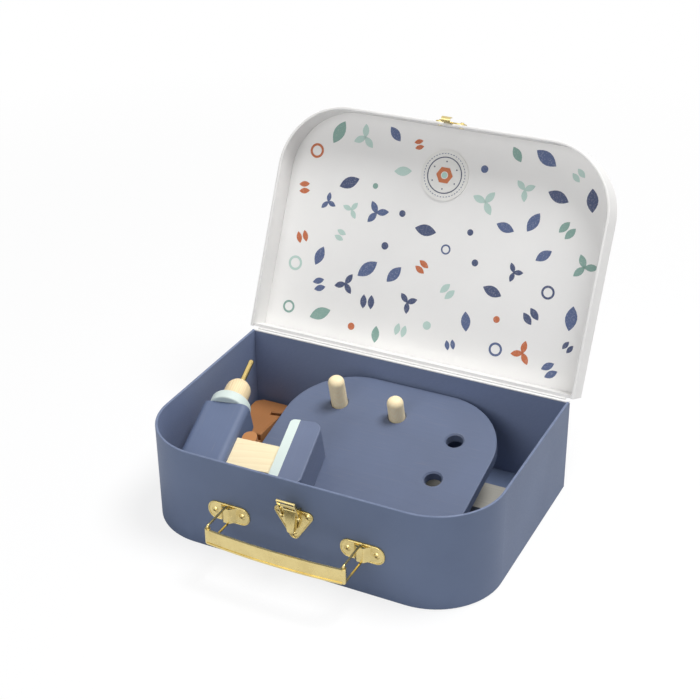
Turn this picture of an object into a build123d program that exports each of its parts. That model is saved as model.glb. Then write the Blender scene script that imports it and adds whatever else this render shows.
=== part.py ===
from build123d import *
from math import atan2, cos, degrees, hypot, radians, sin, tan
import os

# A toy tool case: a cardboard suitcase with brass-coloured fittings, holding wooden toy tools.
# Origin at the middle of the underside, X along the front, Y from front to back, Z up, millimetres.
# The lid is modelled shut and then turned open about its hinge, the pose of the finished model.

# Case; a cutter runs past the face it cuts by the length named past
case_width = 280.0
case_depth = 190.0
case_height = 80.0
corner_radius = 53.0
wall = 2.0
floor_thickness = 2.0
lining = 0.6
glue_gap = 0.1
past = 1.0
rim_round = 0.7
foot_round = 1.0

# Lid
lid_gap = 0.4
lid_wall_thickness = 2.2
lid_depth = 25.0
lid_lap = 3.4
lid_rest_gap = 0.3
lid_edge_round = 1.4
lid_open_angle = 115.0
patch_radius = 20.5
patch_thickness = 0.9
patch_across = -3.2
patch_from_front = 40.5

# Paper hinge
hinge_paper = 0.8
hinge_leaf = 17.0
hinge_inset = 4.0
fold_radius = 0.9
fold_stand_off = 0.3

# Sheet metal fittings
sheet = 0.9
rivet_head = 2.6
rivet_dome = 1.1
rivet_shank = 1.1
rivet_clinch = 2.1
rivet_clinch_thickness = 0.4
press_gap = 0.03
pin_gap = 0.1
plate_end_flat = 0.6

# Handle
saddle_spread = 109.0
saddle_height = 37.0
saddle_length = 35.0
saddle_width = 15.2
saddle_rivet_spread = 22.8
bridge_base = 13.0
bridge_top = 5.4
bridge_rise = 4.0
bridge_length = 12.4
bridge_round = 1.6
wire = 0.9
link_length = 27.5
link_span = 15.6
link_bend = 1.5
link_stand_off = 2.1
strip_height = 12.4
strip_thickness = 1.1
strip_bow = 2.6
strip_bead = 1.3
strip_bead_rise = 0.6
curl_wall = 1.1
open_pivot_gap = 0.3

# Latch
latch_lobe_spread = 23.2
latch_lobe_height = 53.4
latch_foot_height = 35.6
latch_lobe_radius = 4.0
ear_radius = 2.0
ear_thickness = 0.8
ear_root = 1.6
lever_axis_height = 58.0
bail_drop = 5.0
pin = 0.8
lever_head_rise = 2.2
lever_tip_height = 40.0
lever_top_width = 10.4
lever_tip_width = 5.2
lever_skin = 0.8
lever_front_out = 2.2
lever_back_in = 2.5
lever_tip_round = 1.6
lever_edge_round = 0.5
latch_side_gap = 0.3
bail_reach = 18.0
bail_bar_pitch = 5.0
bail_leg_thickness = 0.9
bail_leg_width = 2.0
bail_eye = 1.9
pin_end = 0.3
pin_head_gap = 0.1
pin_head_thickness = 0.6
pin_head_rise = 0.5
bail_lean = 22.0
hook_width = 7.6
hook_clearance = 0.5
hook_lip = 2.2
catch_width = 26.0
catch_height = 9.0
catch_above_rim = 2.2
catch_rivet_spread = 18.6
catch_joint_rise = 0.5

# Pounding bench: a round-cornered board that leans with its back edge up
lean = 14.0
bench_height = 39.5
bench_width = 179.0
bench_depth = 163.5
bench_thickness = 9.0
bench_radius = 56.0
bench_centre = 10.5
bench_from_back = 2.0
bench_edge = 0.8
peg_column = -39.8
peg_pitch = 50.9
peg_from_back = 35.0
hole_column = 64.7
hole_from_back = 44.9
hole_pitch = 43.0
peg_radius = 6.6
peg_length = 37.0
peg_nose = 5.4
peg_chamfer = 0.7
peg_fit = 0.1
hole_chamfer = 1.2
left_peg_out = 27.0
right_peg_out = 19.5
rest_gap = 0.3

# Things stowed on the floor
batten_width = 34.0
batten_thickness = 6.0
batten_from_left = 38.4
batten_from_right = 30.0
batten_from_back = 33.0
mallet_centre = -30.0
mallet_length = 60.0
mallet_from_back = 43.0
mallet_from_front = 44.0
mallet_handle_radius = 7.0
mallet_handle_gap = 0.15
mallet_handle_out = 2.0
mallet_round = 1.5
spanner_thickness = 12.4
spanner_from_side = 4.1
spanner_from_back = 4.7
spanner_head_width = 31.0
spanner_head_length = 13.0
spanner_shoulder = 12.5
spanner_shoulder_in = 4.0
spanner_neck = 25.8
spanner_neck_width = 12.6
spanner_shank = 96.0
spanner_shank_thickness = 7.0
spanner_corner = 3.0
spanner_far_corner = 5.5
spanner_chamfer = 0.8
jaw_width = 4.2
jaw_from_back = 16.0
jaw_depth = 9.5
jaw_turn = 12.0

# Toy drill, in its own frame: X from barrel to battery, Y along the barrel, Z off the bench board
drill_from_side = 92.8
drill_from_front = 45.7
drill_turn = 10.2
drill_thickness = 29.7
barrel_left = -75.4
barrel_right = -36.8
barrel_axis = -56.1
barrel_front = 37.2
barrel_back = -32.0
barrel_edge = 6.0
barrel_end_round = 2.6
axis_depth = 11.0
collar_radius = 16.5
collar_thickness = 9.0
collar_round = 1.2
chuck_radius = 10.4
chuck_length = 15.0
chuck_gap = 0.3
chuck_chamfer = 0.6
axle_radius = 4.0
axle_depth = 30.0
bit_radius = 2.3
bit_round = 1.5
bit_out = 26.0
bit_in = 10.0
chuck_bore = 10.0
grip_back = 6.7
grip_width = 28.0
grip_slant = 7.0
grip_step = 6.0
grip_root = 1.0
trigger_width = 11.6
trigger_height = 13.7
trigger_centre = -28.6
trigger_out = 16.8
trigger_in = 5.0
trigger_travel = 3.0
trigger_gap = 0.3
battery_left = 1.8
battery_front = 27.1
battery_back = -40.0
battery_plate_thickness = 7.6
battery_block_thickness = 18.3
battery_edge = 9.0
battery_plate_edge = 3.5
battery_end_round = 1.2
dowel_radius = 3.0
dowel_reach = 9.0
dowel_line = -16.5

# Places that follow from the sizes
half_width = case_width / 2
front = -case_depth / 2
back = case_depth / 2
floor_top = floor_thickness + lining
lid_rim = case_height - lid_lap
lid_top = lid_rim + lid_depth
lid_half_width = half_width + lid_gap + lid_wall_thickness
lid_front = front - lid_gap - lid_wall_thickness
lid_radius = corner_radius + lid_gap + lid_wall_thickness
hinge_y = back + fold_stand_off + fold_radius
hinge_z = case_height + lid_rest_gap / 2
link_axis = front - sheet - link_stand_off
latch_axis_y = lid_front - sheet - hook_clearance - wire
bail_axis_height = lever_axis_height - bail_drop
wire_bore = wire + pin_gap
slope = tan(radians(lean))
bench_plane = Plane.XY.offset(bench_height).rotated((lean, 0, 0))
board_back = back - bench_from_back
board_front = board_back - bench_depth
peg_y = board_back - peg_from_back
hole_y = board_back - hole_from_back
peg_places = [(peg_column, peg_y), (peg_column + peg_pitch, peg_y)]
empty_holes = [(hole_column, hole_y), (hole_column, hole_y - hole_pitch)]


def block(x0, x1, y0, y1, z0, z1):
    return Pos((x0 + x1) / 2, (y0 + y1) / 2, (z0 + z1) / 2) * Box(x1 - x0, y1 - y0, z1 - z0)


def along_x(radius, x0, x1, y, z):
    return Pos((x0 + x1) / 2, y, z) * Rot(0, 90, 0) * Cylinder(radius, x1 - x0)


def along_y(radius, x, y0, y1, z):
    return Pos(x, (y0 + y1) / 2, z) * Rot(90, 0, 0) * Cylinder(radius, y1 - y0)


def along_z(radius, x, y, z0, z1):
    return Pos(x, y, (z0 + z1) / 2) * Cylinder(radius, z1 - z0)


def outline(half, y_front, y_back, radius):
    # plan of the case: square corners at the back, round ones at the front
    plan = Pos(0, (y_front + y_back) / 2) * Rectangle(2 * half, y_back - y_front)
    return fillet(plan.vertices().group_by(Axis.Y)[0], radius)


def slab(half, y_front, y_back, radius, z0, z1):
    return Pos(0, 0, z0) * extrude(outline(half, y_front, y_back, radius), z1 - z0)


def ring(half, y_front, y_back, radius, thickness, z0, z1):
    outside = slab(half, y_front, y_back, radius, z0, z1)
    inside = slab(half - thickness, y_front + thickness, y_back - thickness, radius - thickness, z0, z1)
    return outside - inside


def rounded_outside(part, half, y_front, y_back, radius, z0, z1, at, size):
    # the same wall with its outer edge at one height rounded off
    solid = slab(half, y_front, y_back, radius, z0, z1)
    return part & fillet(edges_at(solid, at), size)


def front_plate(sketch, y, thickness):
    # a plate whose back lies at y, with its thickness towards the front
    return Pos(0, y, 0) * Rot(90, 0, 0) * extrude(sketch, thickness)


def open_lid(part):
    hinge = Pos(0, hinge_y, hinge_z)
    return hinge * Rot(-lid_open_angle, 0, 0) * hinge.inverse() * part


def on_bench(part):
    return bench_plane.location * part


def on_drill(part):
    place = Pos(drill_from_side - half_width, board_front + drill_from_front, 0)
    return on_bench(place * Rot(0, 0, drill_turn) * part)


def edges_at(part, z):
    # the edges of a part that lie flat at one height
    return part.edges().filter_by_position(Axis.Z, z - 0.01, z + 0.01)


def rivet(x, z, y_wall, wall_thickness):
    # a domed head on a sheet metal plate, a shank through plate and wall, and a clinch inside
    y_head = y_wall - sheet
    ball = (rivet_head**2 + rivet_dome**2) / (2 * rivet_dome)
    dome = Pos(x, y_head - rivet_dome + ball, z) * Sphere(ball)
    dome &= along_y(rivet_head, x, y_head - rivet_dome, y_head, z)
    y_inside = y_wall + wall_thickness
    shank = along_y(rivet_shank, x, y_head - rivet_dome / 2, y_inside + rivet_clinch_thickness / 2, z)
    clinch = along_y(rivet_clinch, x, y_inside, y_inside + rivet_clinch_thickness, z)
    return dome + shank + clinch


def drilled(part, holes, y0, y1):
    # round holes for rivet shanks, along Y
    for x, z in holes:
        part -= along_y(rivet_shank + press_gap, x, y0, y1, z)
    return part


saddle_centres = [-saddle_spread / 2, saddle_spread / 2]
saddle_holes = [
    (centre + side * saddle_rivet_spread / 2, saddle_height)
    for centre in saddle_centres
    for side in (-1, 1)
]
latch_holes = [
    (-latch_lobe_spread / 2, latch_lobe_height),
    (latch_lobe_spread / 2, latch_lobe_height),
    (0.0, latch_foot_height),
]
catch_height_centre = lid_rim + catch_above_rim + catch_height / 2
catch_holes = [(side * catch_rivet_spread / 2, catch_height_centre) for side in (-1, 1)]


def case_base():
    shell = ring(half_width, front, back, corner_radius, wall, 0, case_height)
    shell = fillet(edges_at(shell, case_height), rim_round)
    top = case_height + past
    shell = rounded_outside(shell, half_width, front, back, corner_radius, 0, top, 0, foot_round)
    shell = drilled(shell, saddle_holes + latch_holes, front - past, front + wall + past)
    inner = (
        half_width - wall - glue_gap,
        front + wall + glue_gap,
        back - wall - glue_gap,
        corner_radius - wall - glue_gap,
    )
    leaf = block(
        hinge_inset - half_width,
        half_width - hinge_inset,
        back,
        back + hinge_paper,
        case_height - hinge_leaf,
        hinge_z - fold_radius - fold_stand_off,
    )
    return {
        "base_wall": shell,
        "base_floor": slab(*inner, 0, floor_thickness),
        "floor_lining": slab(*inner, floor_thickness, floor_top),
        "base_hinge_leaf": leaf,
    }


def lid():
    shell = ring(lid_half_width, lid_front, back, lid_radius, lid_wall_thickness, lid_rim, lid_top)
    shell = fillet(edges_at(shell, lid_rim), rim_round)
    low = lid_rim - past
    shell = rounded_outside(
        shell, lid_half_width, lid_front, back, lid_radius, low, lid_top, lid_top, lid_edge_round
    )
    # the back wall stands on the base, so only the front and the sides lap over it
    seat = case_height + lid_rest_gap
    side = half_width + lid_gap
    shell -= block(-side, side, back - lid_wall_thickness - past, back + past, low, seat)
    shell = drilled(shell, catch_holes, lid_front - past, lid_front + lid_wall_thickness + past)
    panel_bottom = lid_top - lid_wall_thickness
    inner_half = side - glue_gap
    inner_front = front - lid_gap + glue_gap
    inner_back = back - lid_wall_thickness - glue_gap
    inner_radius = corner_radius + lid_gap - glue_gap
    patch_z = panel_bottom - lining
    print_sheet = slab(inner_half, inner_front, inner_back, inner_radius, patch_z, panel_bottom)
    patch_y = lid_front + patch_from_front
    patch = along_z(patch_radius, patch_across, patch_y, patch_z - patch_thickness, patch_z)
    fold = along_x(fold_radius, hinge_inset - half_width, half_width - hinge_inset, hinge_y, hinge_z)
    leaf = fold + block(
        hinge_inset - half_width,
        half_width - hinge_inset,
        back,
        back + hinge_paper,
        hinge_z + fold_stand_off,
        hinge_z + hinge_leaf,
    )
    pieces = {
        "lid_wall": shell,
        "lid_panel": slab(inner_half, inner_front, inner_back, inner_radius, panel_bottom, lid_top),
        "lid_lining": print_sheet,
        "lid_patch": patch,
        "lid_hinge_leaf": leaf,
        "catch_plate": catch_plate(),
        "catch_rivets": Compound([rivet(x, z, lid_front, lid_wall_thickness) for x, z in catch_holes]),
    }
    return {name: open_lid(piece) for name, piece in pieces.items()}


def catch_plate():
    # a small winged plate with a tongue that hangs below the rim and curls into a hook
    corner = catch_height / 2 - plate_end_flat
    plate = Pos(0, catch_height_centre) * RectangleRounded(catch_width, catch_height, corner)
    body = front_plate(plate, lid_front, sheet)
    trough = wire + hook_clearance
    outer = trough + sheet
    trough_y = latch_axis_y
    trough_z = bail_axis_height + bail_reach
    tongue_front = trough_y + trough
    half = hook_width / 2
    tongue = block(-half, half, tongue_front, tongue_front + sheet, trough_z, catch_height_centre)
    bend = along_x(outer, -half, half, trough_y, trough_z)
    bend -= block(-half, half, trough_y - outer, trough_y + outer, trough_z, trough_z + outer)
    lip = block(-half, half, trough_y - outer, trough_y - trough, trough_z, trough_z + hook_lip)
    hook = tongue + bend + lip - along_x(trough, -hook_width, hook_width, trough_y, trough_z)
    # where the tongue stands off the lid wall, the plate is drawn out to meet it
    low = lid_rim + catch_joint_rise
    joint = block(-half, half, tongue_front, lid_front, low, catch_height_centre)
    return drilled(body + hook + joint, catch_holes, lid_front - outer - past, lid_front + past)


def saddle(centre):
    corner = saddle_width / 2 - plate_end_flat
    plate = Pos(centre, saddle_height) * RectangleRounded(saddle_length, saddle_width, corner)
    body = front_plate(plate, front, sheet)
    y_face = front - sheet
    profile = Polyline(
        (centre - bridge_base / 2, y_face),
        (centre - bridge_top / 2, y_face - bridge_rise),
        (centre + bridge_top / 2, y_face - bridge_rise),
        (centre + bridge_base / 2, y_face),
        close=True,
    )
    bridge = fillet(make_face(profile).vertices().group_by(Axis.Y)[0], bridge_round)
    body += Pos(0, 0, saddle_height - bridge_length / 2) * extrude(bridge, bridge_length)
    low, high = saddle_height - saddle_width, saddle_height + saddle_width
    body -= along_z(wire_bore, centre, link_axis, low, high)
    return drilled(body, saddle_holes, y_face - past, front + past)


def link(centre):
    # a bent wire loop: one upright in the saddle, the other in the curl of the strip
    middle = link_axis - link_length / 2
    loop = RectangleRounded(link_length, link_span, link_bend)
    path = Plane.YZ.offset(centre).location * Pos(middle, saddle_height) * loop
    rim = path.wires()[0]
    profile = Plane(origin=rim @ 0, z_dir=rim % 0) * Circle(wire)
    return sweep(profile, path=rim)


def handle_strip():
    half = saddle_spread / 2
    y_curl = link_axis - link_length
    curl_out = wire + pin_gap + curl_wall
    z0 = saddle_height - strip_height / 2
    z1 = saddle_height + strip_height / 2
    face = y_curl - curl_out + strip_thickness

    def band(inside, outside, low, high):
        # a strip between two shallow arcs that bow outwards
        near, far = [
            ThreePointArc((-half, face - y), (0, face - strip_bow - y), (half, face - y))
            for y in (inside, outside)
        ]
        ends = Line(near @ 0, far @ 0) + Line(near @ 1, far @ 1)
        return Pos(0, 0, low) * extrude(make_face(near + far + ends), high - low)

    body = band(0, strip_thickness, z0, z1)
    deep = strip_thickness + strip_bead_rise
    body += band(0, deep, z0, z0 + strip_bead)
    body += band(0, deep, z1 - strip_bead, z1)
    for side in (-1, 1):
        body += along_z(curl_out, side * half, y_curl, z0, z1)
    body -= along_z(wire_bore, -half, y_curl, z0 - past, z1 + past)
    body -= along_z(wire + open_pivot_gap, half, y_curl, z0 - past, z1 + past)
    return body


def handle():
    left, right = saddle_centres
    return {
        "left_saddle": saddle(left),
        "right_saddle": saddle(right),
        "saddle_rivets": Compound([rivet(x, z, front, wall) for x, z in saddle_holes]),
        "left_link": link(left),
        "right_link": link(right),
        "handle_strip": handle_strip(),
    }


def latch_plate():
    lobes = [Pos(x, z) * Circle(latch_lobe_radius) for x, z in latch_holes]
    plate = make_hull((lobes[0] + lobes[1] + lobes[2]).edges())
    body = front_plate(plate, front, sheet)
    for side in (-1, 1):
        inner = lever_top_width / 2 + latch_side_gap
        x0, x1 = sorted((side * inner, side * (inner + ear_thickness)))
        ear = along_x(ear_radius, x0, x1, latch_axis_y, lever_axis_height)
        ear += block(
            x0,
            x1,
            latch_axis_y,
            front - sheet / 2,
            lever_axis_height - ear_radius,
            lever_axis_height + ear_radius,
        )
        # the ear's root runs down onto the plate
        root = front - sheet - ear_root
        ear += block(x0, x1, root, front - sheet / 2, latch_lobe_height, lever_axis_height)
        body += ear
    body -= along_x(pin + press_gap, -lever_top_width, lever_top_width, latch_axis_y, lever_axis_height)
    return drilled(body, latch_holes, front - sheet - past, front + past)


def latch_lever():
    top = lever_axis_height + lever_head_rise

    def tapered(skin, low, high):
        half_top = lever_top_width / 2 - skin
        half_tip = lever_tip_width / 2 - skin
        return make_face(
            Polyline((-half_top, high), (half_top, high), (half_tip, low), (-half_tip, low), close=True)
        )

    y_back = latch_axis_y + lever_back_in
    shape = fillet(tapered(0, lever_tip_height, top).vertices().group_by(Axis.Y)[0], lever_tip_round)
    body = front_plate(shape, y_back, lever_back_in + lever_front_out)
    body = fillet(body.faces().sort_by(Axis.Y)[0].edges(), lever_edge_round)
    hollow = tapered(lever_skin, lever_tip_height + lever_skin, top + past)
    body -= front_plate(hollow, y_back, lever_back_in + lever_front_out - lever_skin)
    for z in (lever_axis_height, bail_axis_height):
        body -= along_x(pin + pin_gap, -lever_top_width, lever_top_width, latch_axis_y, z)
    return body


def bail():
    # a stamped loop: two legs with eyes, a round crossbar at the top and a flat bar below it
    inner = lever_top_width / 2 + latch_side_gap + ear_thickness + latch_side_gap
    outer = inner + bail_leg_thickness
    low, high = bail_axis_height, bail_axis_height + bail_reach
    body = along_x(wire, -outer, outer, latch_axis_y, high)
    depth = bail_leg_width / 2
    for side in (-1, 1):
        x0, x1 = sorted((side * inner, side * outer))
        leg = block(x0, x1, latch_axis_y - depth, latch_axis_y + depth, low, high)
        eye = along_x(bail_eye, x0, x1, latch_axis_y, low)
        body += leg + eye
    bar = high - bail_bar_pitch
    half = bail_leg_thickness / 2
    body += block(-outer, outer, latch_axis_y - half, latch_axis_y + half, bar - wire, bar + wire)
    body -= along_x(pin + pin_gap, -outer - past, outer + past, latch_axis_y, low)
    at = Pos(0, latch_axis_y, bail_axis_height)
    return at * Rot(bail_lean, 0, 0) * at.inverse() * body


def latch():
    ear_out = lever_top_width / 2 + latch_side_gap + ear_thickness
    bail_out = ear_out + latch_side_gap + bail_leg_thickness
    # the bail pin has a shallow head at each end
    pin_out = bail_out + pin_end
    bail_pin = along_x(pin, -pin_out, pin_out, latch_axis_y, bail_axis_height)
    head = bail_out + pin_head_gap
    for side in (-1, 1):
        x0, x1 = sorted((side * head, side * (head + pin_head_thickness)))
        bail_pin += along_x(pin + pin_head_rise, x0, x1, latch_axis_y, bail_axis_height)
    return {
        "latch_plate": latch_plate(),
        "latch_rivets": Compound([rivet(x, z, front, wall) for x, z in latch_holes]),
        "lever_pin": along_x(pin, -ear_out, ear_out, latch_axis_y, lever_axis_height),
        "latch_lever": latch_lever(),
        "bail_pin": bail_pin,
        "latch_bail": bail(),
    }


def bench():
    middle = (board_front + board_back) / 2
    plan = Pos(bench_centre, middle) * RectangleRounded(bench_width, bench_depth, bench_radius)
    board = Pos(0, 0, -bench_thickness) * extrude(plan, bench_thickness)
    rims = board.faces().sort_by(Axis.Z)
    board = fillet(rims[0].edges() + rims[-1].edges(), bench_edge)
    hole = peg_radius + peg_fit
    for x, y in peg_places + empty_holes:
        board -= along_z(hole, x, y, -bench_thickness - past, past)
        flare = Cone(hole, hole + hole_chamfer, hole_chamfer)
        board -= Pos(x, y, -hole_chamfer / 2) * flare
        board -= Pos(x, y, hole_chamfer / 2 - bench_thickness) * Rot(180, 0, 0) * flare
    pieces = {"bench_board": board}
    for name, (x, y), out in zip(("left_peg", "right_peg"), peg_places, (left_peg_out, right_peg_out)):
        pieces[name] = Pos(x, y, out - peg_length) * peg()
    return {name: on_bench(piece) for name, piece in pieces.items()}


def peg():
    # a turned dowel with a round nose and a small chamfer at its foot
    body = Pos(0, 0, peg_length / 2) * Cylinder(peg_radius, peg_length)
    rims = body.edges().filter_by(GeomType.CIRCLE).sort_by(Axis.Z)
    body = chamfer(rims[0], peg_chamfer)
    nose = body.edges().filter_by(GeomType.CIRCLE).sort_by(Axis.Z)[-1]
    return fillet(nose, peg_nose)


def batten():
    return block(
        batten_from_left - half_width,
        half_width - batten_from_right,
        back - batten_from_back - batten_width,
        back - batten_from_back,
        floor_top,
        floor_top + batten_thickness,
    )


def mallet():
    # the head lies on the batten and carries the back of the board, the handle's end carries its front
    seat = floor_top + batten_thickness
    under = bench_height - bench_thickness / cos(radians(lean))
    head_y = back - mallet_from_back
    end_y = front + mallet_from_front
    rise = under + slope * head_y - seat
    radius = (rise * cos(radians(lean)) - rest_gap) / (1 + cos(radians(lean)))
    head_z = seat + radius
    end_z = floor_top + mallet_handle_radius + mallet_handle_gap
    run = head_y - end_y
    angle = degrees(atan2(head_z - end_z, run))
    long = hypot(run, head_z - end_z) + radius + mallet_handle_out
    stick = Cylinder(mallet_handle_radius, long)
    stick = fillet(stick.edges().filter_by(GeomType.CIRCLE), mallet_round)
    stick = Pos(0, 0, long / 2) * stick
    handle_at = Pos(mallet_centre, end_y, end_z) * Rot(angle - 90, 0, 0)
    half = mallet_length / 2
    head = along_x(radius, mallet_centre - half, mallet_centre + half, head_y, head_z)
    head = chamfer(head.edges().filter_by(GeomType.CIRCLE), mallet_round)
    bore = Pos(0, 0, long / 2) * Cylinder(mallet_handle_radius + press_gap, 2 * long)
    head -= handle_at * bore
    return {"mallet_head": head, "mallet_handle": handle_at * stick}


def spanner():
    # a thick head with an open jaw that tapers to a neck, and a thinner shank towards the front
    left = spanner_from_side - half_width
    right = left + spanner_head_width
    end = back - spanner_from_back
    heel = end - spanner_head_length
    waist = heel - spanner_shoulder
    neck = waist - spanner_neck
    neck_left = right - spanner_neck_width
    plan = make_face(
        Polyline(
            (left, heel),
            (left, end - spanner_far_corner),
            (left + spanner_far_corner, end),
            (right - spanner_corner, end),
            (right, end - spanner_corner),
            (right, neck),
            (neck_left, neck),
            (left + spanner_shoulder_in, waist),
            close=True,
        )
    )
    jaw = Pos(right, end - jaw_from_back) * Rot(0, 0, jaw_turn) * Rectangle(2 * jaw_depth, jaw_width)
    head = Pos(0, 0, floor_top) * extrude(plan - jaw, spanner_thickness)
    head = chamfer(head.faces().sort_by(Axis.Z)[-1].edges(), spanner_chamfer)
    top = floor_top + spanner_shank_thickness
    shank = block(neck_left, right, neck - spanner_shank, neck, floor_top, top)
    return head + chamfer(shank.faces().sort_by(Axis.Z)[-1].edges(), spanner_chamfer)


def drill():
    low = rest_gap
    high = rest_gap + drill_thickness
    mid = (low + high) / 2
    axis = barrel_axis
    axis_z = high - axis_depth
    barrel = block(barrel_left, barrel_right, barrel_back, barrel_front, low, high)
    barrel = fillet(barrel.edges().filter_by(Axis.Y), barrel_edge)
    barrel = fillet(barrel.faces().sort_by(Axis.Y)[0].edges(), barrel_end_round)
    # the grip's two sides slant towards the front on their way to the battery
    root = barrel_right - grip_root
    fall = tan(radians(grip_slant))
    near, far = grip_back + grip_root * fall, grip_back + (barrel_right - battery_left) * fall
    edge = [(root, near), (battery_left, far)]
    corners = edge + [(x, y - grip_width) for x, y in reversed(edge)]
    grip = extrude(make_face(Polyline(*corners, close=True)), drill_thickness - 2 * grip_step)
    grip = Pos(0, 0, low + grip_step) * grip - barrel
    collar_front = barrel_front + collar_thickness
    axle_end = barrel_front - axle_depth
    axle_bore = along_y(axle_radius + pin_gap, axis, axle_end - past, collar_front + past, axis_z)
    collar = along_y(collar_radius, axis, barrel_front, collar_front, axis_z)
    collar = fillet(collar.edges().filter_by(GeomType.CIRCLE), collar_round) - axle_bore
    barrel -= axle_bore
    chuck_base = collar_front + chuck_gap
    shoulder = chuck_base + chuck_length
    chuck = along_y(chuck_radius, axis, chuck_base, shoulder, axis_z)
    chuck = chamfer(chuck.edges().sort_by(Axis.Y)[0], chuck_chamfer)
    chuck += Pos(axis, shoulder, axis_z) * Sphere(chuck_radius)
    tip = shoulder + chuck_radius
    chuck -= along_y(axle_radius + press_gap, axis, chuck_base - past, chuck_base + chuck_bore, axis_z)
    chuck -= along_y(bit_radius + press_gap, axis, tip - bit_in, tip + past, axis_z)
    axle = along_y(axle_radius, axis, axle_end, chuck_base + chuck_bore, axis_z)
    bit = along_y(bit_radius, axis, tip - bit_in, tip + bit_out, axis_z)
    bit = fillet(bit.edges().sort_by(Axis.Y)[-1], bit_round)
    pocket_half = trigger_width / 2 + trigger_gap
    pocket_z = trigger_height / 2 + trigger_gap
    grip -= block(
        trigger_centre - pocket_half,
        trigger_centre + pocket_half,
        -trigger_in - trigger_travel - trigger_gap,
        near + past,
        mid - pocket_z,
        mid + pocket_z,
    )
    radius = trigger_width / 2
    straight = trigger_out - radius
    ends = mid - trigger_height / 2, mid + trigger_height / 2
    sides = trigger_centre - radius, trigger_centre + radius
    nose = along_z(radius, trigger_centre, straight, *ends) & block(*sides, straight, trigger_out, *ends)
    trigger = nose + block(*sides, -trigger_in, straight, *ends)
    plate_right = battery_left + battery_plate_thickness
    block_right = plate_right + battery_block_thickness
    plate = block(battery_left, plate_right, battery_back, battery_front, low, high)
    plate = fillet(plate.edges().filter_by(Axis.Z).sort_by(Axis.X)[:2], battery_plate_edge)
    battery = block(plate_right, block_right, battery_back, battery_front, low, high)
    battery = fillet(battery.edges().filter_by(Axis.Z).sort_by(Axis.X)[2:], battery_edge)
    battery = fillet(battery.faces().sort_by(Axis.X)[-1].edges().filter_by(Axis.Y), battery_end_round)
    dowels = [
        (barrel_right - dowel_reach, barrel_right + dowel_reach),
        (battery_left - dowel_reach, plate_right + dowel_reach),
    ]
    for x0, x1 in dowels:
        hole = along_x(dowel_radius + press_gap, x0, x1, dowel_line, mid)
        barrel -= hole
        grip -= hole
        plate -= hole
        battery -= hole
    grip = grip.solids().sort_by(SortBy.VOLUME)[-1]
    pieces = {
        "drill_barrel": barrel,
        "drill_collar": collar,
        "drill_chuck": chuck,
        "chuck_axle": axle,
        "drill_bit": bit,
        "drill_grip": grip,
        "drill_trigger": trigger,
        "battery_plate": plate,
        "battery_block": battery,
        "drill_dowels": Compound([along_x(dowel_radius, x0, x1, dowel_line, mid) for x0, x1 in dowels]),
    }
    return {name: on_drill(piece) for name, piece in pieces.items()}


def main():
    os.makedirs("parts", exist_ok=True)
    pieces = {}
    pieces.update(case_base())
    pieces.update(lid())
    pieces.update(handle())
    pieces.update(latch())
    pieces.update(bench())
    pieces["batten"] = batten()
    pieces.update(mallet())
    pieces["spanner"] = spanner()
    pieces.update(drill())
    for name, piece in pieces.items():
        export_step(piece, f"parts/{name}.step")
    print(len(pieces), "pieces written")


main()
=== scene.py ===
import math

import bpy
from mathutils import Matrix, Vector


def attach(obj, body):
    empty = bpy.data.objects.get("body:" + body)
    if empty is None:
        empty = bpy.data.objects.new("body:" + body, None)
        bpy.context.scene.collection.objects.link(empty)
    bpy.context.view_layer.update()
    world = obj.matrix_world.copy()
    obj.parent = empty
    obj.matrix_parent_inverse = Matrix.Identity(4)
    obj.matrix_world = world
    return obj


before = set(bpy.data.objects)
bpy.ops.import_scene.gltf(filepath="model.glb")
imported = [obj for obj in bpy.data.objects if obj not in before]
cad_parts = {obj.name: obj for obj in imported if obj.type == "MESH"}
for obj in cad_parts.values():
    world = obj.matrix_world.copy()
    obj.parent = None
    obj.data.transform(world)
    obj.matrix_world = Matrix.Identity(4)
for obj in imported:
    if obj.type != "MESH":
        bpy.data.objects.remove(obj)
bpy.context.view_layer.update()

mm = 0.001
print("frame loaded", len(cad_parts), "nodes")


# small helpers used by every stage

def tone(red, green, blue):
    # a screen colour from 0 to 255 as Blender's linear colour
    def linear(value):
        value /= 255
        return value / 12.92 if value <= 0.04045 else ((value + 0.055) / 1.055) ** 2.4
    return (linear(red), linear(green), linear(blue), 1.0)


def addNode(tree, kind, sockets=None, **settings):
    # one node, with its settings, and its sockets by name or number given a value or a link
    node = tree.nodes.new(kind)
    for key, value in settings.items():
        setattr(node, key, value)
    for key, value in (sockets or {}).items():
        socket = node.inputs[key]
        if isinstance(value, bpy.types.NodeSocket):
            tree.links.new(value, socket)
        else:
            socket.default_value = value
    return node


def calc(tree, operation, *values):
    return addNode(tree, "ShaderNodeMath", dict(enumerate(values)), operation=operation).outputs[0]


def remap(tree, value, low, high, newLow, newHigh):
    return addNode(tree, "ShaderNodeMapRange", {
        "Value": value, 1: low, 2: high, 3: newLow, 4: newHigh}).outputs[0]


def scaledVector(tree, vector, share):
    return addNode(tree, "ShaderNodeVectorMath", {0: vector, "Scale": share}, operation="SCALE").outputs[0]


def blendColours(tree, share, first, second):
    # a Mix node's colours are its sockets 6 and 7, and its colour output is 2
    return addNode(tree, "ShaderNodeMix", {0: share, 6: first, 7: second}, data_type="RGBA").outputs[2]


def startMaterial(name):
    material = bpy.data.materials.new(name)
    material.use_nodes = True
    tree = material.node_tree
    place = addNode(tree, "ShaderNodeTexCoord").outputs["Object"]
    return material, tree, tree.nodes["Principled BSDF"], place


def stretched(tree, place, turn, scale):
    # the pattern's own axes: turned first, then stretched along them
    turned = addNode(tree, "ShaderNodeMapping", {"Vector": place, "Rotation": turn}).outputs[0]
    return addNode(tree, "ShaderNodeMapping", {"Vector": turned, "Scale": scale}).outputs[0]


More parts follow.
